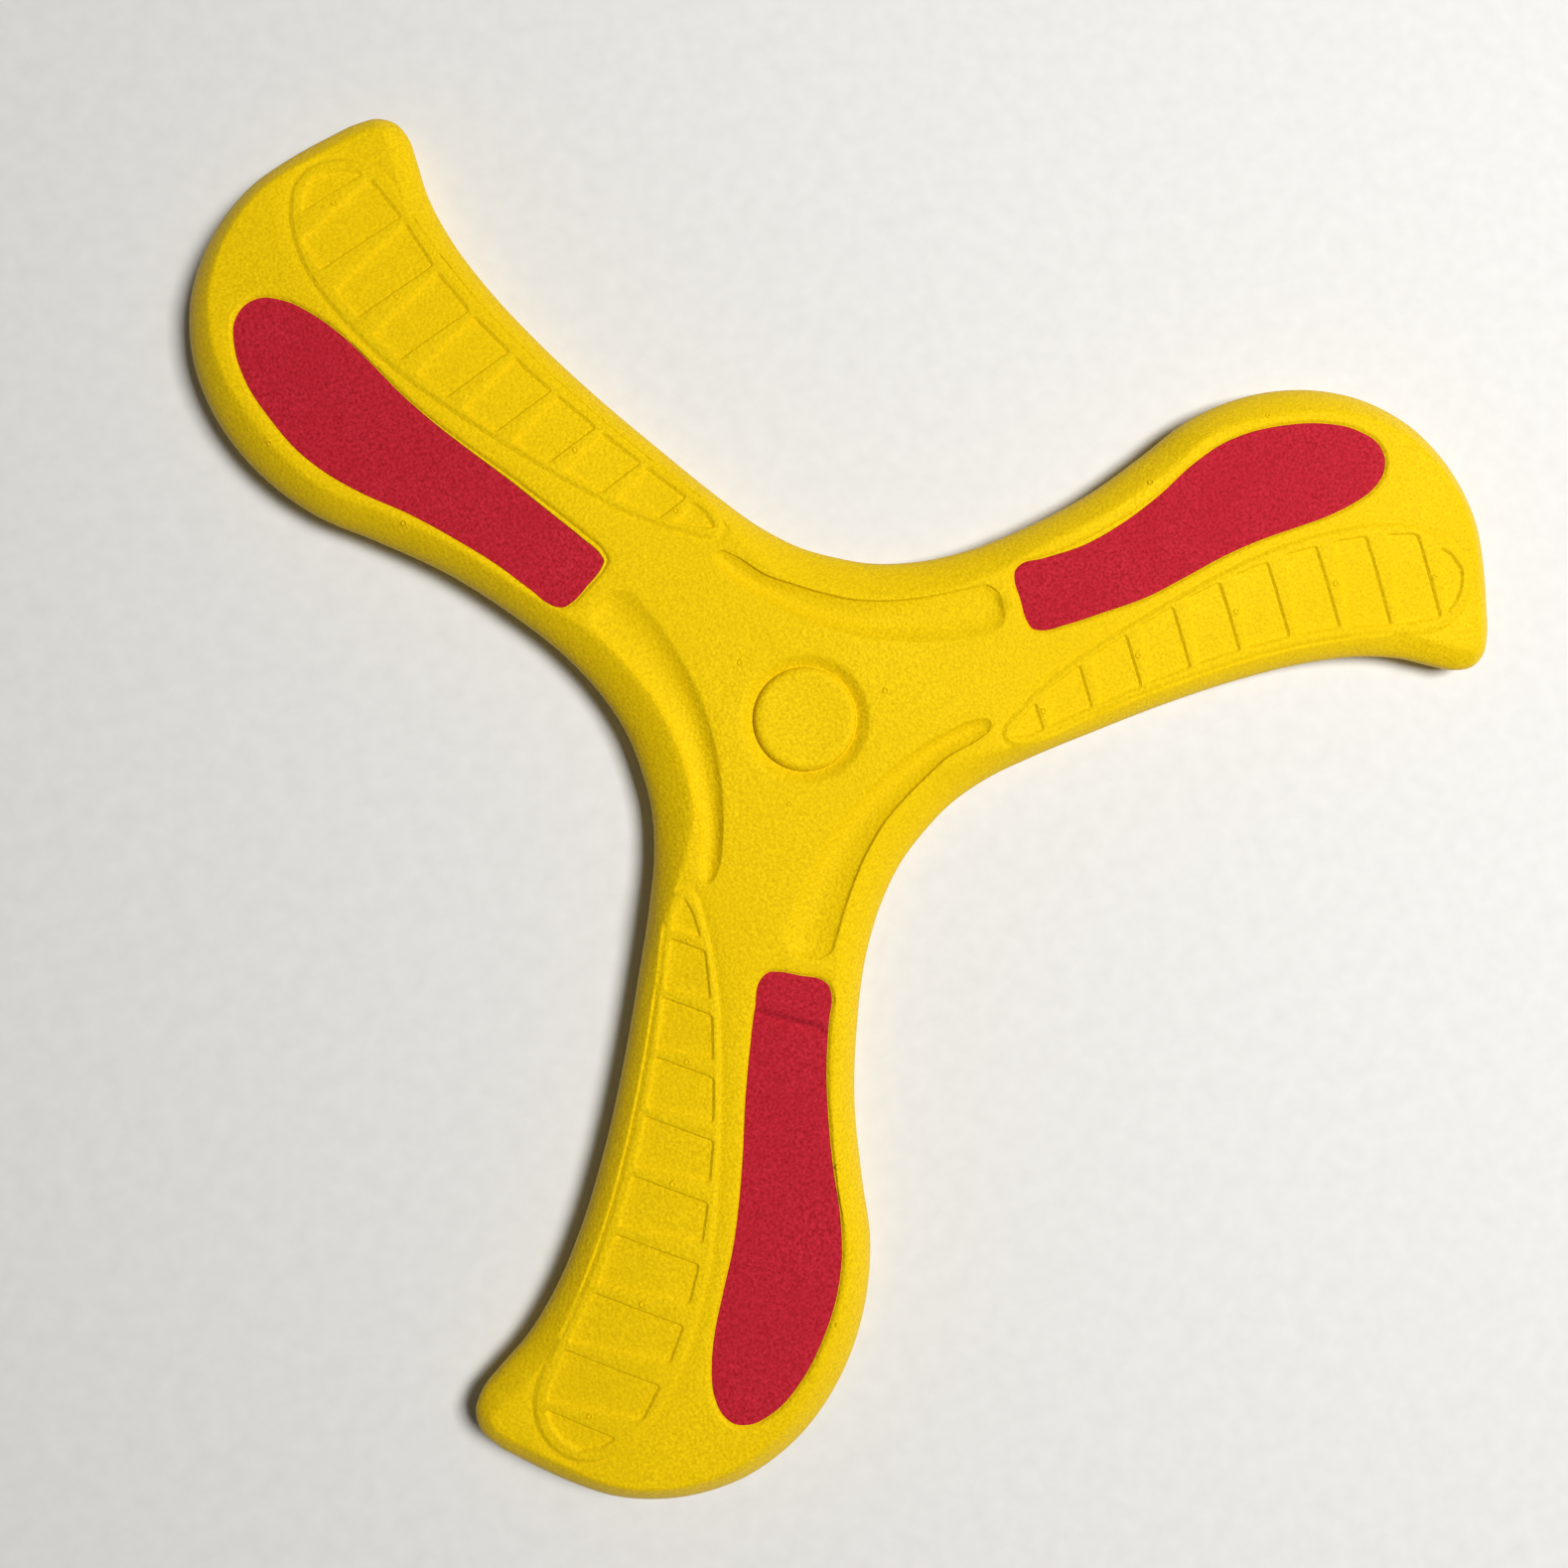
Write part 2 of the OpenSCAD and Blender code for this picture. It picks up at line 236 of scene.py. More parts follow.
foams = {  # grain sizes and depth in mm
    "yellow": {
        "dark": (0.69, 0.452, 0.002, 1), "light": (0.95, 0.65, 0.005, 1),
        "patch": (0.80, 0.53, 0.003, 1), "patchShare": 0.3, "patchSize": 34,
        "grainSize": 0.78, "fineSize": 0.55, "fineShare": 0.9, "rough": 0.5,
        "bump": 0.7, "depth": 0.08, "gloss": 0.25, "sheen": 0.0, "glint": (1.0, 0.7, 0.05, 1)},
    "disc": {
        "dark": (0.68, 0.445, 0.002, 1), "light": (0.97, 0.665, 0.006, 1),
        "patch": (0.82, 0.55, 0.003, 1), "patchShare": 0.3, "patchSize": 9,
        "grainSize": 0.9, "fineSize": 0.6, "fineShare": 1.0, "rough": 0.55,
        "bump": 0.7, "depth": 0.08, "gloss": 0.25, "sheen": 0.0, "glint": (1.0, 0.7, 0.05, 1)},
    "red": {
        "dark": (0.33, 0.007, 0.013, 1), "light": (0.63, 0.025, 0.05, 1),
        "patch": (0.44, 0.013, 0.025, 1), "patchShare": 0.35, "patchSize": 12,
        "grainSize": 0.6, "fineSize": 0.6, "fineShare": 1.0, "rough": 0.82,
        "bump": 0.75, "depth": 0.09, "gloss": 0.14, "sheen": 0.04, "glint": (1.0, 0.5, 0.5, 1)},
}
yellowFoam = foamMaterial("yellowFoam", foams["yellow"])
discFoam = foamMaterial("discFoam", foams["disc"])
redFoam = foamMaterial("redFoam", foams["red"])
print("foam materials made")


# body

body = {
    "trailDrop": 1.2,    # how far the top falls toward the trailing edge
    "fallFrom": 1.5,     # y where that fall starts on wing 1, and its width
    "fallWide": 16,
    "fallRoot": 25,      # x where it starts, and how long it takes to be full
    "fallEase": 35,
    "rimArc": 60,        # degrees of the upper rim's curve
    "rimSteps": 16,      # rings in the upper rim and in the lower one, counting the seam in both
    "underSteps": 9,
    "rimFlat": 0.25,     # how much of the rim's rise is a straight slope
    "underShare": 0.6,   # lower rim's width against the upper one
    "ridgeSoft": 0.05,   # rounding where the rim meets the top
    "edgeSteps": 9,      # outline points between two control points
    "pocketStep": 0.42,  # spacing of the points on the pockets, the field and the panels
    "fieldStep": 0.9,
    "panelStep": 0.4,
    "rimInner": 0.3,     # the top surface starts this far inside the ridge
    "lip": 0.8,          # width of the rounding of the pocket edges
    "lipDrop": 0.42,     # brings the edge level with the inlay
    "lipSteps": (0, 0.05, 0.16, 0.32, 0.54, 0.8),
    "snugGap": 0.03,     # the pocket's wall stands this far outside the inlay's edge
    "openGap": 0.6,      # a gap this wide has the full drop of the ledge
    "wallSoft": 20,      # smoothing passes for each mm that a ring is set in
    "panelDepth": 0.6,   # below the top of the field
    "wallWidth": 0.32,   # plan width of a panel's sloping wall
    "wallEase": 0.1,     # plan width of the rounding at its top and bottom
    "footLean": 0.6,     # how much wider the wall along a panel's foot is
    "fieldDip": 0.2,     # shallow dip along the outside of the field
    "dipReach": 2.2,     # the ridge is lowered too where the field is nearer than this
    "dipFade": 1.2,
    "hubGap": 0.02,      # between the disc and its pocket
    "hubSegments": 144,
    "scoopDepth": 1.3,
    "filler": 1.5,       # spacing of the loose points on flat areas
    "scatter": 0.12,     # how far they stray, as a share of the spacing
}
ledge = [(0.12, 0.1), (0.6, -0.02), (1.0, -0.14)]  # share of the way to the inlay, drop
pocketSteps = [(0.0, 0.4), (0.0, 0.8), (0.1, 0.96), (0.35, 1.0)]  # inset, share of the depth
fieldSteps = [  # distance outside the field's edge, share of its rise or, below 0, of the dip
    (1.9, 0), (1.2, -0.5), (0.6, -1), (0.35, -0.9), (-0.3, 0.95), (-0.5, 1)]

trailSide = [  # x, y, rim width, from the bay to the tip of wing 1
    [16.05, -27.8, 7.4], [22, -24.7, 7.4], [30, -22.3, 5.8], [41, -20.9, 2.7],
    [54, -20.1, 2.9], [70, -19.4, 3], [86, -19.5, 3.05], [100, -20.6, 3.1],
    [112, -22.9, 3.4], [121, -26.2, 4.2], [127, -29.7, 4.2], [131, -31.8, 4],
    [134.3, -32.2, 3.4], [137.4, -30.6, 3.2], [139.5, -27.2, 3.4],
    [141.4, -21.5, 3.6], [143.6, -13, 3.8], [144.8, -4.5, 4]]
leadSide = [
    [22, 24.8, 7.2], [30, 22.5, 6.9], [41, 21.4, 6.3],
    [54, 22.3, 4.7], [68, 24.7, 4.8], [82, 29.1, 5], [93, 33, 4.8],
    [103, 34.3, 5.4], [113, 33.6, 5.9], [122, 31, 5.6], [129, 27.3, 5.3],
    [134, 23.2, 5], [138, 18.6, 4.7], [140.8, 13.8, 4.5], [142.9, 8.6, 4.3],
    [144.3, 2.6, 4.1]]
inlayEdge = [  # x, y of the die-cut inlay of wing 1
    [48.9, 2.4], [54, 2.2], [62, 2.6], [71, 3.3], [80, 4.5], [89, 5.7], [97, 6.2], [105, 6.1],
    [112, 6.2], [118, 6.9], [123.2, 8.5], [126.7, 11], [127.9, 13.6], [127.3, 16.4],
    [123.8, 20.5], [117.4, 24.1], [110, 26.1], [103, 26.9], [96.4, 26.5], [88.8, 24.6],
    [79.9, 21.2], [71, 18.5], [62, 16.6], [54, 15.9], [49, 15.6], [47.5, 14.8],
    [47, 13.4], [46.9, 9], [47, 4.7], [47.5, 3.1]]
inlayFit = [  # how far each inlay's edge ends up outside that line once pressed in
    [0.2, 0.5, 0.9, 1.4, 1.2, 0.8, 0.5, 0.2, 0.1, 0, 0.1, 0, 0, 0.4, 0.4, 0.1, -0.1, -0.2,
     -0.3, -0.6, -1.1, -1.4, -1.3, -0.6, -0.2, -0.3, -0.2, -0.1, 0.1, 0.1],
    [-0.7, -0.9, -1, -0.9, -0.6, -0.1, 0.3, 0.7, 0.9, 0.9, 0.9, 0.7, 0.2, 0.1, -0.2, -0.4,
     -0.6, -0.5, -0.5, -0.3, 0.1, 0.6, 0.8, 0.7, 0.4, 0.1, 0, -0.1, -0.4, -0.6],
    [0.5, 0.3, 0, -0.4, -0.7, -0.7, -0.8, -0.8, -0.7, -0.7, -0.7, -0.8, -0.7, -0.3, 0.2, 0.4,
     0.6, 0.7, 0.8, 0.9, 1, 0.9, 0.6, 0.1, -0.2, -0.2, 0.1, 0.1, 0.1, 0.2]]
pocketGap = [  # open width between each inlay and the wall of its pocket
    [0.1] * 19 + [0.15, 0.3, 0.8, 0.9, 0.3, 0.15, 0.2, 0.25, 0.25, 0.2, 0.1],
    [0.85, 0.9, 0.85, 0.7, 0.45, 0.2] + [0.1] * 9 + [0.15, 0.35, 0.15] + [0.1] * 7
    + [0.15, 0.2, 0.3, 0.5, 0.75],
    [0.1, 0.2, 0.1, 0.1, 0.1, 0.15, 0.25, 0.3, 0.3, 0.25, 0.2] + [0.1] * 19]
scoopRows = [  # hub-side edge, outer edge, share of the depth
    [-6.9, 35.3, -5.6, 35.4, 0], [-7.3, 34.7, -4.9, 35, 0.3], [-7.3, 33.5, -4.1, 34.3, 0.55],
    [-6.5, 31.3, -2.6, 32.9, 0.75], [-3.1, 26.5, 0.9, 28.7, 0.95], [1.9, 21.1, 6.1, 24.8, 1],
    [7, 16.7, 11.1, 21.5, 1], [12.5, 12.9, 16.2, 18.7, 1], [18.5, 9.8, 22.4, 16.6, 1],
    [25, 7.3, 28.7, 15.3, 0.95], [31.5, 5.5, 34.5, 14.6, 0.85], [37, 4.7, 39.4, 14.2, 0.78],
    [40.8, 4.7, 41.6, 13.8, 0.7], [42.5, 6, 42.7, 12.6, 0.5], [43.4, 7.4, 43.5, 11.4, 0]]
scoopShape = np.array([  # share of the way across, share of the depth
    [-0.04, 0], [0, 0.02], [0.03, 0.12], [0.08, 0.3], [0.15, 0.53], [0.25, 0.79],
    [0.36, 0.95], [0.46, 1], [0.58, 0.96], [0.7, 0.84], [0.8, 0.7], [0.88, 0.57],
    [0.94, 0.46], [0.965, 0.38], [0.985, 0.2], [1, 0.03], [1.02, 0]])
ladderTop = np.array([  # upper ends of the panels
    [36.8, -15.3], [39.5, -13], [46, -9.2], [57, -5.6], [68, -2.9], [79, -0.6],
    [90, 0.8], [101, 1.5], [111, 1.1], [121, -0.4], [128.6, -2.6],
    [132.3, -6.2], [134.8, -8.6], [136.3, -12.3]])
ladderFoot = np.array([
    [36.8, -15.3], [40, -16.4], [50, -15.5], [66, -14.2], [82, -13.5],
    [97, -14.2], [108, -15.8], [119, -18.7], [128, -20.3], [131, -19.8],
    [133.5, -18.1], [135.3, -15.6], [136.3, -12.3]])
fieldEdge = [  # outline of the raised field around the panels
    [35.3, -14.5], [35.8, -16.3], [37, -17.2], [40, -17.7], [45, -17.3],
    [54, -16.3], [65, -15.6], [77, -15.3], [88, -15.5], [98, -16.2],
    [108, -17.7], [116, -19.5], [122, -21.4], [127.7, -22.4], [132.3, -21.4],
    [135.8, -18.6], [137.5, -15.3], [137.9, -12.8], [137.3, -9.6], [135.5, -6.8],
    [131.6, -3.2], [126, 0], [118.5, 2], [111, 2.9], [103, 3.2], [94, 2.6],
    [84.5, 1.2], [74, -0.7], [63, -3.1], [54, -5.4], [46, -8.3], [39.5, -11.5], [36.3, -13.3]]
hubGroove = [  # distance from the disc's pocket, drop
    [0, 1.3], [0.3, 1.18], [0.7, 0.96], [1.1, 0.73], [1.5, 0.5], [1.9, 0.28], [2.2, 0.12],
    [2.5, 0.03], [2.9, 0]]
ladder = {"panels": 10, "firstFoot": 44.8, "pitch": 10.72, "bar": 1.4, "lean": 0.15,
          "startGap": 0.2, "endGap": 0.15}
fieldLine = evenly(closedCurve(fieldEdge, 6) * planScale, body["fieldStep"])


def ramp(t):
    t = np.clip(t, 0, 1)
    return t * t * (3 - 2 * t)


def topHeight(p):  # height of the plain top surface anywhere on the body
    z = np.full(len(p), bodyTop)
    for w in range(3):
        q = turned(p, -120 * w) / planScale
        t = np.clip((body["fallFrom"] - q[:, 1]) / body["fallWide"], 0, 2)
        full = ramp((q[:, 0] - body["fallRoot"]) / body["fallEase"])
        z -= body["trailDrop"] * full * (1 - np.cos(np.pi / 2 * t))
    return z


def softMin(a, b, k):
    low = np.minimum(a, b)
    return low - k * np.log(np.exp((low - a) / k) + np.exp((low - b) / k))


def panelOutline(i):
    left = ladder["firstFoot"] + ladder["pitch"] * (i - 1)
    right = ladder["firstFoot"] + ladder["pitch"] * i - ladder["bar"]
    if i == 0:
        left = ladderFoot[0, 0] + ladder["startGap"]
    if i == ladder["panels"] - 1:
        right = ladderFoot[-1, 0] - ladder["endGap"]
    x = np.linspace(left, right, 14)
    low = np.stack([x, np.interp(x, *ladderFoot.T)], -1)
    rise = np.interp(x, *ladderTop.T) - low[:, 1]
    hx = x + ladder["lean"] * rise * (1 - (x - left) / (right - left))
    high = np.stack([hx, np.interp(hx, *ladderTop.T)], -1)
    side = np.linspace(0, 1, 12)[1:-1, None]
    return np.vstack([low, low[-1] + (high[-1] - low[-1]) * side, high[::-1],
                      high[0] + (low[0] - high[0]) * side])


def footWide(panel):  # the wall along the foot of a panel leans more than the others
    return 1 + body["footLean"] * np.clip(inward(panel)[:, 1:], 0, 1) ** 2


def inlayOutline(w, extra):  # extra is 0 for the inlay's edge and 1 for its pocket's
    line = evenly(closedCurve(np.c_[inlayEdge, inlayFit[w], pocketGap[w]], 8), body["pocketStep"])
    out = line[:, 2:3] + extra * line[:, 3:4]
    return line[:, :2] * planScale - inward(line[:, :2]) * out


class Cloud:  # points with heights and the lines between them, for one triangulation
    def __init__(self):
        self.xy, self.z, self.edges, self.count = [], [], [], 0

    def dots(self, xy, z):
        ids = np.arange(self.count, self.count + len(xy))
        self.xy.append(xy)
        self.z.append(z)
        self.count += len(xy)
        return ids

    def loop(self, xy, z):
        ids = self.dots(xy, z)
        self.edges += list(zip(ids, np.roll(ids, -1)))
        return ids


def rimRows():  # rings of points from the underside up to the top surface
    side = np.array(trailSide + leadSide[::-1])
    ctrl = np.vstack([np.c_[turned(side[:, :2], 120 * w), side[:, 2]] for w in range(3)])
    edge = closedCurve(ctrl, body["edgeSteps"])
    outer = edge[:, :2] * planScale
    width = edge[:, 2:] * planScale
    toHub = inward(outer)
    ridge = outer + toHub * width
    fields = np.vstack([turned(fieldLine, 120 * w) for w in range(3)])
    apart = np.array([np.min(np.hypot(*(fields - p).T)) for p in ridge])
    dip = body["fieldDip"] * ramp((body["dipReach"] - apart) / body["dipFade"])
    ridgeZ = topHeight(ridge) - dip
    rows = []
    for a in np.radians(np.linspace(0, 90, body["underSteps"])[:-1]):
        rows.append(np.c_[outer + (ridge - outer) * body["underShare"] * (1 - np.sin(a)),
                          np.full(len(outer), seamZ * (1 - np.cos(a)))])
    flat, arc = body["rimFlat"], np.radians(body["rimArc"])
    for a in np.radians(np.linspace(0, body["rimArc"], body["rimSteps"])):
        across = (1 - np.cos(a)) / (1 - np.cos(arc))
        xy = outer + (ridge - outer) * across
        z = seamZ + (ridgeZ - seamZ) * (flat * across + (1 - flat) * np.sin(a) / np.sin(arc))
        rows.append(np.c_[xy, softMin(z, topHeight(xy), body["ridgeSoft"])])
    xy = ridge + toHub * body["rimInner"]
    slope = (ridgeZ - seamZ) / width[:, 0]
    slope *= flat + (1 - flat) * (1 - np.cos(arc)) / np.sin(arc) / np.tan(arc)
    z = ridgeZ + body["rimInner"] * slope
    rows.append(np.c_[xy, softMin(z, topHeight(xy), body["ridgeSoft"])])
    return rows


def addPocketEdges(cloud):  # for each pocket: its edge's ids and points, and its wall's line
    pockets = []
    for w in range(3):
        outline = turned(inlayOutline(w, 1), 120 * w)
        snug = turned(inlayOutline(w, 0), 120 * w)
        loops = []
        for d in body["lipSteps"]:
            line = outline - inward(outline) * d
            drop = body["lipDrop"] * (1 - d / body["lip"]) ** 2
            loops.append(cloud.loop(line, topHeight(line) - drop))
        pockets.append((loops[0], outline, snug - inward(snug) * body["snugGap"]))
    return pockets


def addHubGroove(cloud, wallR):
    around = np.radians(np.arange(body["hubSegments"]) * 360 / body["hubSegments"])
    circle = np.stack([np.cos(around), np.sin(around)], -1)
    loops = []
    for d, drop in hubGroove:
        line = circle * (wallR + d)
        loops.append(cloud.loop(line, topHeight(line) - drop))
    return loops[0]


def addScoops(cloud):
    lines = openCurve(scoopRows, 6)
    share = np.maximum(lines[:, 4], 0)
    m = len(scoopShape)
    edges = []
    for w in range(3):
        near = turned(lines[:, 0:2] * planScale, 120 * w)
        far = turned(lines[:, 2:4] * planScale, 120 * w)
        grid = near[:, None] + (far - near)[:, None] * scoopShape[None, :, :1]
        flat = grid.reshape(-1, 2)
        depth = (body["scoopDepth"] * share[:, None] * scoopShape[None, :, 1]).reshape(-1)
        ids = cloud.dots(flat, topHeight(flat) - depth).reshape(len(near), m)
        for q in range(m):
            cloud.edges += list(zip(ids[:-1, q], ids[1:, q]))
        for s in (0, -1):
            cloud.edges += list(zip(ids[s, :-1], ids[s, 1:]))
        edges.append(np.vstack([grid[:, 0], grid[::-1, -1]]))
    return edges


def addLadders(cloud, panels):
    wall, ease = body["wallWidth"] / 2, body["wallEase"]
    panelSteps = [(wall + ease, 0), (wall, 0.03), (-wall, 0.97), (-wall - ease, 1)]
    for w in range(3):
        for off, share in fieldSteps:
            line = turned(softened(fieldLine - inward(fieldLine) * off, 2), 120 * w)
            rise = fieldRise * max(share, 0) + body["fieldDip"] * min(share, 0)
            cloud.loop(line, topHeight(line) + rise)
        for off, share in panelSteps:
            for panel in panels:
                line = turned(panel - inward(panel) * off * footWide(panel), 120 * w)
                cloud.loop(line, topHeight(line) + fieldRise - body["panelDepth"] * share)


def treeOf(points):
    tree = kdtree.KDTree(len(points))
    for k, p in enumerate(points):
        tree.insert((*p, 0), k)
    tree.balance()
    return tree


def addFiller(cloud, reach, rim, hubR, holes, panels):  # loose points on the flat areas
    step = body["filler"]
    grid = spacedGrid((-reach, reach), (-reach, reach), step)
    rng = np.random.default_rng(7)
    grid += rng.uniform(-body["scatter"], body["scatter"], grid.shape) * step
    grid = grid[isInside(grid, rim)]
    grid = grid[np.hypot(*grid.T) > hubR]
    for hole in holes:
        grid = grid[~isInside(grid, hole)]
    taken = treeOf(np.vstack(cloud.xy))
    grid = np.array([p for p in grid if taken.find((*p, 0))[2] > step * 0.55])
    z = topHeight(grid)
    for w in range(3):
        local = turned(grid, -120 * w)
        z += fieldRise * isInside(local, fieldLine)
        for panel in panels:
            z -= body["panelDepth"] * isInside(local, panel)
    cloud.dots(grid, z)


def surfaceOf(cloud):  # points, triangles, and the place of each of the cloud's points
    z = np.concatenate(cloud.z)
    lines = [tuple(map(int, e)) for e in cloud.edges]
    out = triangulated(np.vstack(cloud.xy), lines)
    xy, source = np.array([tuple(v) for v in out[0]]), out[3]
    known = np.array([k for k, s in enumerate(source) if s])
    height = np.array([z[s[0]] if s else np.nan for s in source])
    near = treeOf(xy[known])
    for k in np.where(np.isnan(height))[0]:  # where lines crossed
        found = near.find_n((*xy[k], 0), 3)
        weight = [1 / (d + 1e-6) for _, _, d in found]
        height[k] = sum(height[known[i]] * g for (_, i, _), g in zip(found, weight)) / sum(weight)
    where = {one: k for k, s in enumerate(source) for one in s}
    return np.c_[xy, height], np.array(out[2]), where


def sinkWalls(verts, faces, top, inner, floorZ, ledge=()):  # walls and floor of a pocket
    line = verts[top]
    m = len(top)
    gap = np.clip(np.linalg.norm(inner - line[:, :2], axis=1) / body["openGap"], 0, 1)
    rings = [np.c_[line[:, :2] + (inner - line[:, :2]) * part, line[:, 2] - drop * gap]
             for part, drop in ledge]
    brink = rings[-1] if rings else line
    toMiddle = inward(inner)
    for inset, part in pocketSteps:
        rings.append(np.c_[softened(inner + toMiddle * inset, int(inset * body["wallSoft"])),
                           brink[:, 2] + (floorZ - brink[:, 2]) * part])
    previous = top
    for ring in rings:
        now = list(range(len(verts), len(verts) + m))
        verts = np.vstack([verts, ring])
        faces += [[previous[(k + 1) % m], previous[k], now[k], now[(k + 1) % m]]
                  for k in range(m)]
        previous = now
    faces += [[previous[k] for k in f] for f in filled(verts[previous], m)]
    return verts


def makeBody():
    rows = rimRows()
    n = len(rows[0])
    verts, faces = np.vstack(rows), ringFaces(len(rows), n)
    rimLine = rows[-1][:, :2]
    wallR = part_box("hub_disc")[1].x / mm + body["hubGap"]
    panels = [softened(evenly(panelOutline(i) * planScale, body["panelStep"]), 2)
              for i in range(ladder["panels"])]

    cloud = Cloud()
    rim = cloud.loop(rimLine, rows[-1][:, 2])
    pockets = addPocketEdges(cloud)
    hub = addHubGroove(cloud, wallR)
    scoopEdges = addScoops(cloud)
    addLadders(cloud, panels)
    outlines = [outline for _, outline, _ in pockets]
    reach = np.abs(verts[:, :2]).max() + 1
    hubR = wallR + hubGroove[-1][0]
    addFiller(cloud, reach, rimLine, hubR, outlines + scoopEdges, panels)

    points, tri, where = surfaceOf(cloud)
    centre = points[tri, :2].mean(1)
    keep = isInside(centre, rimLine) & (np.hypot(*centre.T) > wallR)
    for outline in outlines:
        keep &= ~isInside(centre, outline)
    tri = tri[keep]
    print("top surface:", len(points), "points,", len(tri), "triangles")
    index = np.arange(len(points)) + len(verts)
    for k in range(n):
        index[where[int(rim[k])]] = len(verts) - n + k
    verts = np.vstack([verts, points])
    faces += [list(t) for t in faceUp(index[tri], verts)]

    def placeOf(ids):
        return [int(index[where[int(k)]]) for k in ids]

    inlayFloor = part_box("inlay_film_1")[0].z / mm
    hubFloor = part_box("hub_disc_film")[0].z / mm
    for ids, _, inner in pockets:
        verts = sinkWalls(verts, faces, placeOf(ids), inner, inlayFloor, ledge)
    top = placeOf(hub)
    verts = sinkWalls(verts, faces, top, verts[top][:, :2], hubFloor)
    faces += [list(f[::-1]) for f in filled(rows[0], n)]  # flat underside

    used = np.unique(np.concatenate(faces))
    renumber = np.full(len(verts), -1)
    renumber[used] = np.arange(len(used))
    faces = [[int(renumber[k]) for k in f] for f in faces]
    return meshObject("boomerangBody", verts[used], faces, yellowFoam)


boomerangBody = makeBody()
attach(boomerangBody, "root")
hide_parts("foam_body")
print("body:", len(boomerangBody.data.polygons), "faces")


# red inlays

inlays = {
    "edgeRound": 0.18,
    "footRound": 0.25,
    "crown": 0.03,       # how much fuller the middle is than the edge
    "wave": 0.02,        # slow unevenness of the pressed-in sheet
    "soft": 24,          # smoothing passes for each mm that a ring is set in
    "waveLengths": (7, 5),
    "crownEase": 4,      # the middle's height is reached this far from the edge
    "spacing": 1.3,      # of the points on the top
    "lengthwise": (40, 135),
    "crosswise": (-2, 32),
    "creasedWing": 2,    # counted from 0
    "creaseAt": 55.6,    # x of the fold across that inlay, at the y below it
    "creaseY": 9,
    "creaseWide": 0.85,
    "creaseLean": 0.06,  # sideways run of the fold for each mm along it
    "creaseDepth": 0.65,
    "creaseEase": 0.8,   # the fold has its full depth this far from the inlay's edge
    "creaseReach": 1.6,  # fine points this far to each side, coarse ones beyond the next value
    "creaseClear": 2,
    "bulge": 0.35,       # height of the swelling beside the fold, as a share of its depth
    "bulgeAt": 2.4,      # its distance and width, as shares of the fold's width
    "bulgeWide": 1.3,
}
quarter = np.radians([0, 15, 30, 45, 60, 75, 90])


def inlayTop(w, last, toMiddle):  # loose points on the top and how far each one rises
    grid = spacedGrid(inlays["lengthwise"], inlays["crosswise"], inlays["spacing"])
    crease = inlays["creaseAt"] if w == inlays["creasedWing"] else -100  # out of reach
    grid = grid[np.abs(grid[:, 0] - crease) > inlays["creaseClear"]]
    if w == inlays["creasedWing"]:
        beside = np.linspace(-inlays["creaseReach"], inlays["creaseReach"], 17)
        fx, fy = np.meshgrid(crease + beside, np.arange(*inlays["crosswise"], 0.8))
        grid = np.vstack([grid, np.stack([fx.ravel(), fy.ravel()], -1)])
    grid = grid * planScale
    grid = grid[isInside(grid, last + toMiddle * 0.5)]
    depth = np.array([np.min(np.hypot(*(last - p).T)) for p in grid])
    along, across = grid.T / np.reshape(inlays["waveLengths"], (2, 1))
    waves = np.sin(along + w * 2) * np.cos(across + w)
    rise = (inlays["crown"] + inlays["wave"] * waves) * ramp(depth / inlays["crownEase"])
    fold = grid[:, 0] - crease - inlays["creaseLean"] * (grid[:, 1] - inlays["creaseY"])
    fold = fold / inlays["creaseWide"]
    bulge = np.exp(-((fold + inlays["bulgeAt"]) / inlays["bulgeWide"]) ** 2)
    shape = np.exp(-fold**2) - inlays["bulge"] * bulge
    return grid, rise - inlays["creaseDepth"] * shape * ramp(depth / inlays["creaseEase"])


def makeInlay(w):
    low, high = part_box("inlay_%d" % (w + 1))
    low, high = low.z / mm, high.z / mm - inlays["crown"] - inlays["wave"]
    line = inlayOutline(w, 0)
    toMiddle = inward(line)
    r = inlays["edgeRound"]
    rings = [(inlays["footRound"], low), (0.0, low + inlays["footRound"])]
    rings += [(r * (1 - np.cos(a)), high - r + r * np.sin(a)) for a in quarter]
    n = len(line)
    verts = np.vstack([np.c_[softened(line + toMiddle * d, int(d * inlays["soft"])), np.full(n, z)]
                       for d, z in rings])
    faces = ringFaces(len(rings), n)
    last = verts[-n:, :2]
    grid, rise = inlayTop(w, last, toMiddle)
    ids = np.r_[np.arange(n) + (len(rings) - 1) * n, np.arange(len(grid)) + len(verts)]
    faces += [list(ids[f]) for f in filled(np.vstack([last, grid]), n)]
    verts = np.vstack([verts, np.c_[grid, high + rise]])
    faces.append(list(range(n))[::-1])
    verts = np.c_[turned(verts[:, :2], 120 * w), verts[:, 2]]
    return meshObject("inlay%d" % (w + 1), verts, faces, redFoam)


for w in range(3):
    piece = makeInlay(w)
    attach(piece, "root")
    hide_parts("inlay_%d" % (w + 1))
print("inlays made")


# hub disc

disc = {"footRound": 0.3, "edgeWide": 1.3, "edgeHigh": 1.2, "flatFrom": 1.9,
        "flatDrop": 0.02, "dish": 0.25, "segments": 144}


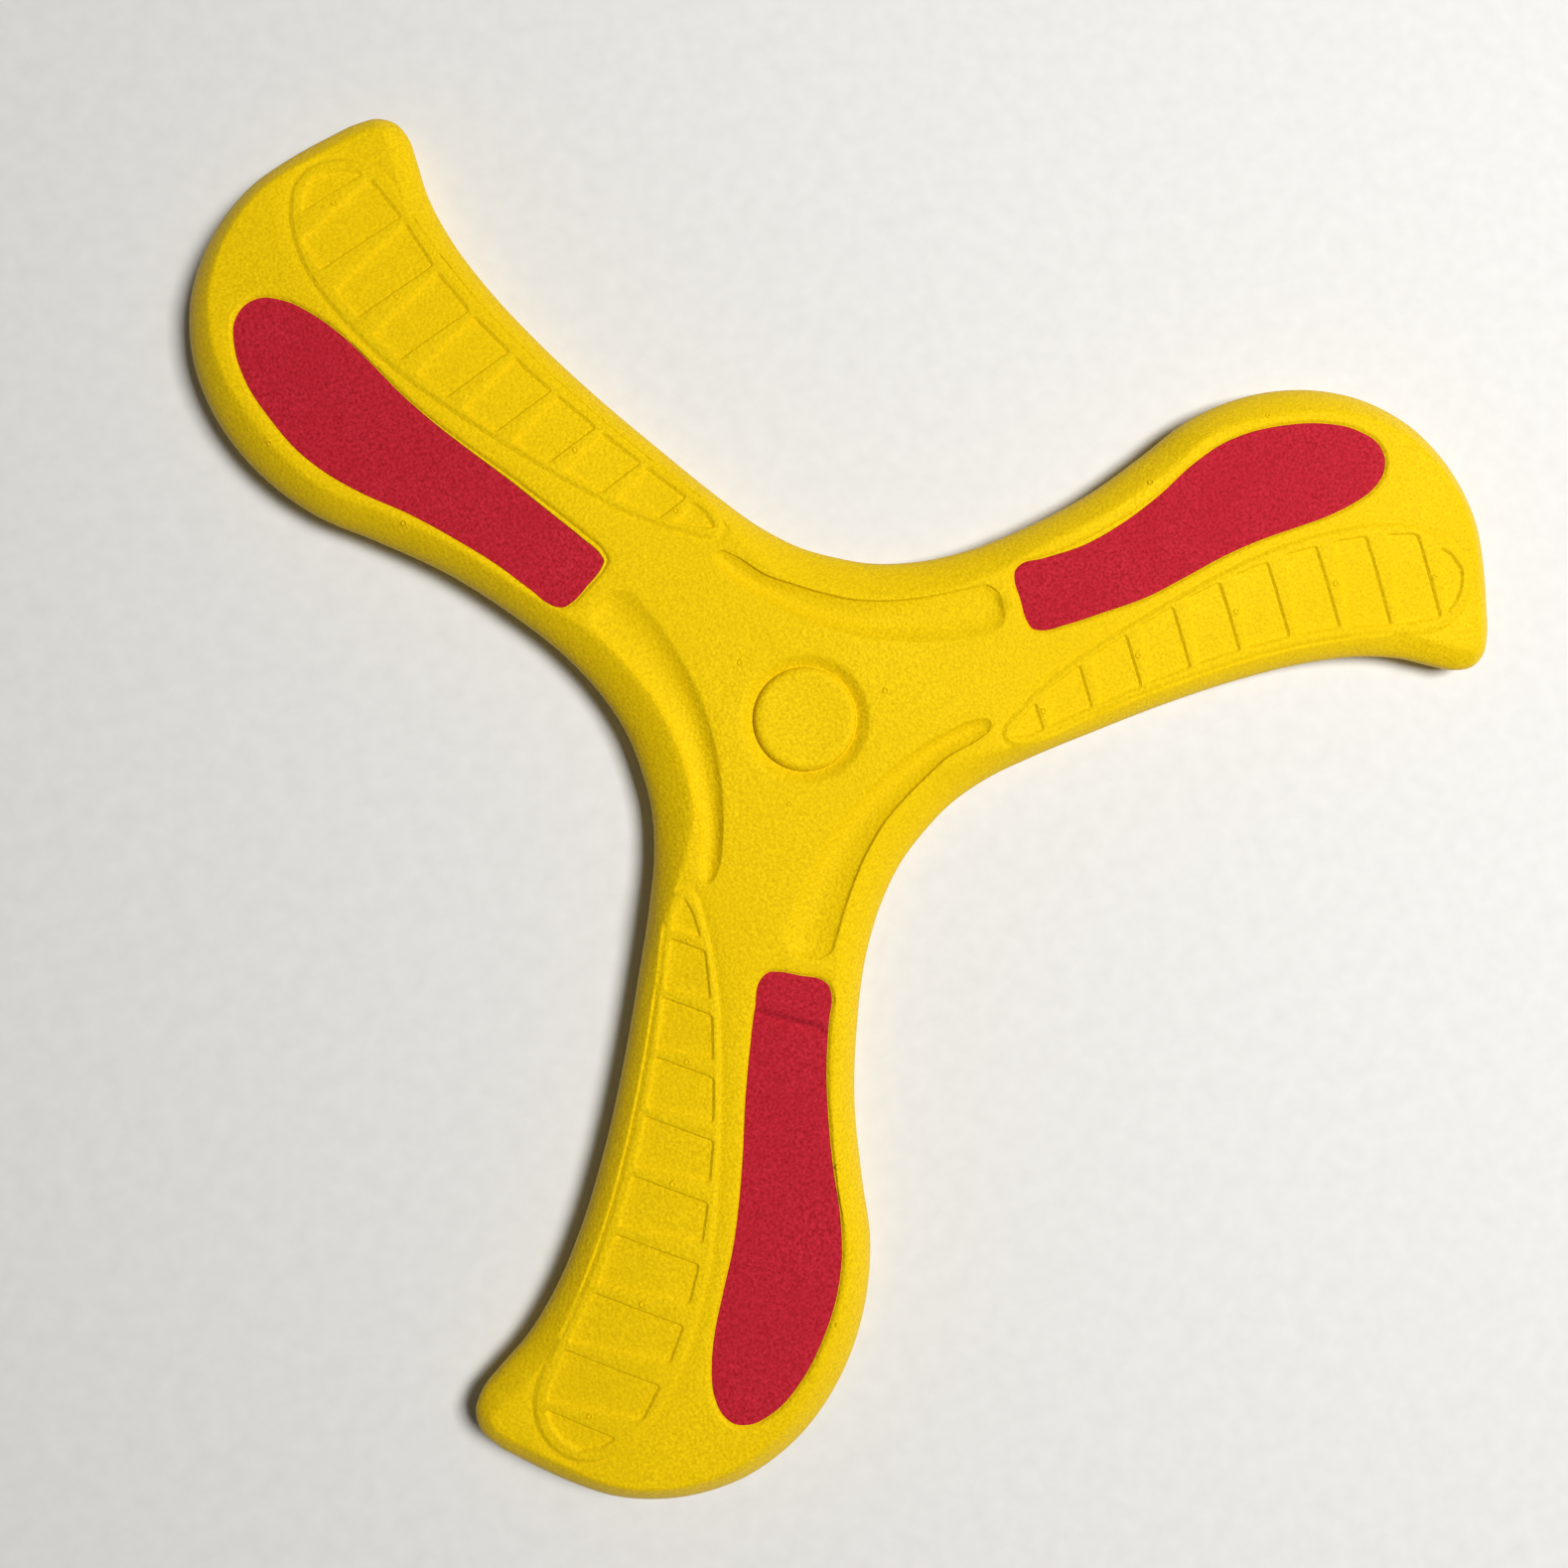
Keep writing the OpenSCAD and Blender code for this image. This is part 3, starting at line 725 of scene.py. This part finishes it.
def makeDisc():
    low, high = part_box("hub_disc")
    r, z0, z1 = high.x / mm, low.z / mm, high.z / mm
    foot, wide, tall, dish = disc["footRound"], disc["edgeWide"], disc["edgeHigh"], disc["dish"]
    profile = [(r - foot, z0), (r, z0 + foot)]
    profile += [(r - wide + wide * np.cos(a), z1 - tall + tall * np.sin(a)) for a in quarter]
    profile += [(r - disc["flatFrom"], z1 - disc["flatDrop"]), (r * 0.7, z1 - dish * 0.5),
                (r * 0.35, z1 - dish)]
    n = disc["segments"]
    a = np.arange(n) * 2 * np.pi / n
    verts = np.vstack([np.c_[p * np.cos(a), p * np.sin(a), np.full(n, z)] for p, z in profile]
                      + [[[0, 0, z1 - dish], [0, 0, z0]]])
    rows = len(profile)
    faces = ringFaces(rows, n)
    faces += [[(rows - 1) * n + k, (rows - 1) * n + (k + 1) % n, rows * n] for k in range(n)]
    faces += [[(k + 1) % n, k, rows * n + 1] for k in range(n)]
    return meshObject("hubDisc", verts, faces, discFoam)


hubDisc = makeDisc()
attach(hubDisc, "root")
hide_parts("hub_disc")
print("hub disc made")


# moulded pin marks

pinMarks = {"ring": 0.88, "bead": 0.34, "smallest": 0.85, "largest": 1.05, "seed": 3}
pinSpots = [  # x, y on wing 1
    [16.25, 0.4], [44.4, -12.7], [65.9, -8.3], [87.7, -6.2], [109.3, -7.1], [130, -12.1],
    [107, 28.8], [79.4, 23.1]]
pinInputs = {  # name: kind of socket, value
    "Ring Diameter": ("NodeSocketFloat", pinMarks["ring"] * mm),
    "Bead Thickness": ("NodeSocketFloat", pinMarks["bead"] * mm),
    "Seed": ("NodeSocketInt", pinMarks["seed"])}


def pinMarkTree():  # a ring on every point, turned to face along the point's own direction
    tree = bpy.data.node_groups.new("pinMarkRings", "GeometryNodeTree")
    tree.interface.new_socket("Geometry", in_out="INPUT", socket_type="NodeSocketGeometry")
    sockets = {}
    for name, (kind, value) in pinInputs.items():
        sockets[name] = tree.interface.new_socket(name, in_out="INPUT", socket_type=kind)
        sockets[name].default_value = value
    tree.interface.new_socket("Geometry", in_out="OUTPUT", socket_type="NodeSocketGeometry")
    given = add(tree, "NodeGroupInput").outputs
    half = add(tree, "ShaderNodeMath", {1: 0.5}, {0: given["Ring Diameter"]},
               operation="MULTIPLY")
    bead = add(tree, "ShaderNodeMath", {1: 0.5}, {0: given["Bead Thickness"]},
               operation="MULTIPLY")
    path = add(tree, "GeometryNodeCurvePrimitiveCircle", {"Resolution": 24},
               {"Radius": half.outputs[0]})
    profile = add(tree, "GeometryNodeCurvePrimitiveCircle", {"Resolution": 10},
                  {"Radius": bead.outputs[0]})
    ring = add(tree, "GeometryNodeCurveToMesh", links={
        "Curve": path.outputs["Curve"], "Profile Curve": profile.outputs["Curve"]})
    size = add(tree, "FunctionNodeRandomValue",
               {2: pinMarks["smallest"], 3: pinMarks["largest"]}, {"Seed": given["Seed"]},
               data_type="FLOAT")
    facing = add(tree, "GeometryNodeInputNamedAttribute", {"Name": "facing"},
                 data_type="FLOAT_VECTOR")
    upright = add(tree, "FunctionNodeAlignRotationToVector",
                  links={"Vector": facing.outputs["Attribute"]}, axis="Z")
    placed = add(tree, "GeometryNodeInstanceOnPoints", links={
        "Points": given["Geometry"], "Instance": ring.outputs["Mesh"],
        "Scale": size.outputs[1], "Rotation": upright.outputs["Rotation"]})
    real = add(tree, "GeometryNodeRealizeInstances",
               links={"Geometry": placed.outputs["Instances"]})
    smooth = add(tree, "GeometryNodeSetShadeSmooth",
                 links={"Geometry": real.outputs["Geometry"]})
    painted = add(tree, "GeometryNodeSetMaterial", {"Material": yellowFoam},
                  {"Geometry": smooth.outputs["Geometry"]})
    add(tree, "NodeGroupOutput", links={"Geometry": painted.outputs["Geometry"]})
    return tree, sockets


def makePinMarks():
    spots, facings = [], []
    for w in range(3):
        for spot in pinSpots:
            x, y = turned(spot, 120 * w) * planScale * mm
            _, at, facing, _ = boomerangBody.ray_cast(Vector((x, y, 0.1)), Vector((0, 0, -1)))
            spots.append(at)
            facings += list(facing)
    mesh = bpy.data.meshes.new("pinMarks")
    mesh.from_pydata(spots, [], [])
    attribute = mesh.attributes.new("facing", "FLOAT_VECTOR", "POINT")
    attribute.data.foreach_set("vector", facings)
    marks = bpy.data.objects.new("pinMarks", mesh)
    bpy.context.scene.collection.objects.link(marks)

    rings = marks.modifiers.new("rings", "NODES")
    rings.node_group, sockets = pinMarkTree()
    for name, (_, value) in pinInputs.items():
        rings[sockets[name].identifier] = value
    bpy.context.view_layer.update()
    grown = marks.evaluated_get(bpy.context.evaluated_depsgraph_get())
    plain = bpy.data.meshes.new_from_object(grown)
    marks.modifiers.clear()
    marks.data = plain
    return marks


bpy.context.view_layer.update()
marks = makePinMarks()
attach(marks, "root")
print("pin marks:", len(marks.data.polygons), "faces")


# adhesive films under the inlays, cut to the inlays as they are pressed in

films = {"inset": 0.9, "soft": 24, "dark": (0.62, 0.57, 0.43, 1), "light": (0.78, 0.75, 0.62, 1),
         "weave": 900.0, "rough": 0.38, "bump": 0.4, "depth": 0.03}


def filmMaterial():
    material, tree = nodeMaterial("adhesiveFilm")
    place = add(tree, "ShaderNodeTexCoord").outputs["Object"]
    weave = add(tree, "ShaderNodeTexNoise", {"Scale": films["weave"], "Detail": 3.0},
                {"Vector": place}).outputs["Fac"]
    colour = add(tree, "ShaderNodeMix", {6: films["dark"], 7: films["light"]}, {0: weave},
                 data_type="RGBA")
    bump = add(tree, "ShaderNodeBump",
               {"Strength": films["bump"], "Distance": films["depth"] * mm}, {"Height": weave})
    shader = add(tree, "ShaderNodeBsdfPrincipled",
                 {"Roughness": films["rough"], "Specular IOR Level": 0.5},
                 {"Base Color": colour.outputs[2], "Normal": bump.outputs["Normal"]})
    add(tree, "ShaderNodeOutputMaterial", links={"Surface": shader.outputs["BSDF"]})
    return material


def makeFilm(w):
    low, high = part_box("inlay_film_%d" % (w + 1))
    line = inlayOutline(w, 0)
    line = softened(line + inward(line) * films["inset"], films["soft"])
    n = len(line)
    verts = np.vstack([np.c_[line, np.full(n, z / mm)] for z in (low.z, high.z)])
    cap = filled(line, n)
    faces = ringFaces(2, n) + [list(f[::-1]) for f in cap] + [list(f + n) for f in cap]
    verts = np.c_[turned(verts[:, :2], 120 * w), verts[:, 2]]
    return meshObject("inlayFilm%d" % (w + 1), verts, faces, filmLook, smooth=False)


filmLook = filmMaterial()
for w in range(3):
    film = makeFilm(w)
    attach(film, "root")
    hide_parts("inlay_film_%d" % (w + 1))
hubFilm = frame["nodes"]["hub_disc_film"]
hubFilm.data.materials.clear()
hubFilm.data.materials.append(filmLook)
print("films made")


# floor, light and camera

stage = {
    "floorSize": 1.6,
    "floorDark": (0.73, 0.727, 0.715, 1),
    "floorLight": (0.83, 0.827, 0.815, 1),
    "floorPatches": 260.0,
    "floorRough": 0.75,
    "floorGloss": 0.2,
    "floorBump": 0.15,
    "floorDepth": 0.3,  # mm
    "sky": (0.95, 0.97, 1.0, 1),
    "fill": 0.06,
    "keyColour": (1.0, 0.985, 0.96),
    "keyPower": 11.2,
    "keySize": 0.36,
    "keyPlace": (0.43, -0.043, 0.9),
}
view = {  # the camera's sensor and lens in mm, the place in m
    "sensor": 36,
    "lens": 33.06,
    "shift": (-0.009, -0.0992),
    "place": (-0.032985, 0.006890, 0.281299),
    "turn": ((0.944389, 0.299562, -0.135615),
             (-0.306851, 0.951077, -0.035988),
             (0.1182, 0.0756, 0.990108)),
}


def makeFloor():
    bpy.ops.mesh.primitive_plane_add(size=stage["floorSize"])
    floor = bpy.context.object
    floor.name = "floor"
    material, tree = nodeMaterial("paleFloor")
    place = add(tree, "ShaderNodeTexCoord").outputs["Object"]
    cloudy = add(tree, "ShaderNodeTexNoise", {"Scale": stage["floorPatches"], "Detail": 4.0},
                 {"Vector": place}).outputs["Fac"]
    colour = add(tree, "ShaderNodeMix", {6: stage["floorDark"], 7: stage["floorLight"]},
                 {0: cloudy}, data_type="RGBA")
    bump = add(tree, "ShaderNodeBump",
               {"Strength": stage["floorBump"], "Distance": stage["floorDepth"] * mm},
               {"Height": cloudy})
    shader = add(tree, "ShaderNodeBsdfPrincipled",
                 {"Roughness": stage["floorRough"], "Specular IOR Level": stage["floorGloss"]},
                 {"Base Color": colour.outputs[2], "Normal": bump.outputs["Normal"]})
    add(tree, "ShaderNodeOutputMaterial", links={"Surface": shader.outputs["BSDF"]})
    floor.data.materials.append(material)


def makeLights():
    world = bpy.data.worlds.new("softRoom")
    bpy.context.scene.world = world
    world.use_nodes = True
    back = world.node_tree.nodes["Background"]
    back.inputs["Color"].default_value = stage["sky"]
    back.inputs["Strength"].default_value = stage["fill"]
    key = bpy.data.lights.new("key", "AREA")
    key.shape = "RECTANGLE"
    key.size = key.size_y = stage["keySize"]
    key.energy = stage["keyPower"]
    key.color = stage["keyColour"]
    lamp = bpy.data.objects.new("key", key)
    lamp.location = stage["keyPlace"]
    lamp.rotation_euler = (-lamp.location).to_track_quat("-Z", "Y").to_euler()
    bpy.context.scene.collection.objects.link(lamp)
    bpy.context.scene.view_settings.view_transform = "Standard"


def makeCamera():
    data = bpy.data.cameras.new("camera")
    data.sensor_width = view["sensor"]
    data.lens = view["lens"]
    data.shift_x, data.shift_y = view["shift"]
    camera = bpy.data.objects.new("camera", data)
    camera.matrix_world = Matrix.Translation(view["place"]) @ Matrix(view["turn"]).to_4x4()
    bpy.context.scene.collection.objects.link(camera)
    bpy.context.scene.camera = camera


makeFloor()
makeLights()
makeCamera()
print("stage and camera ready")
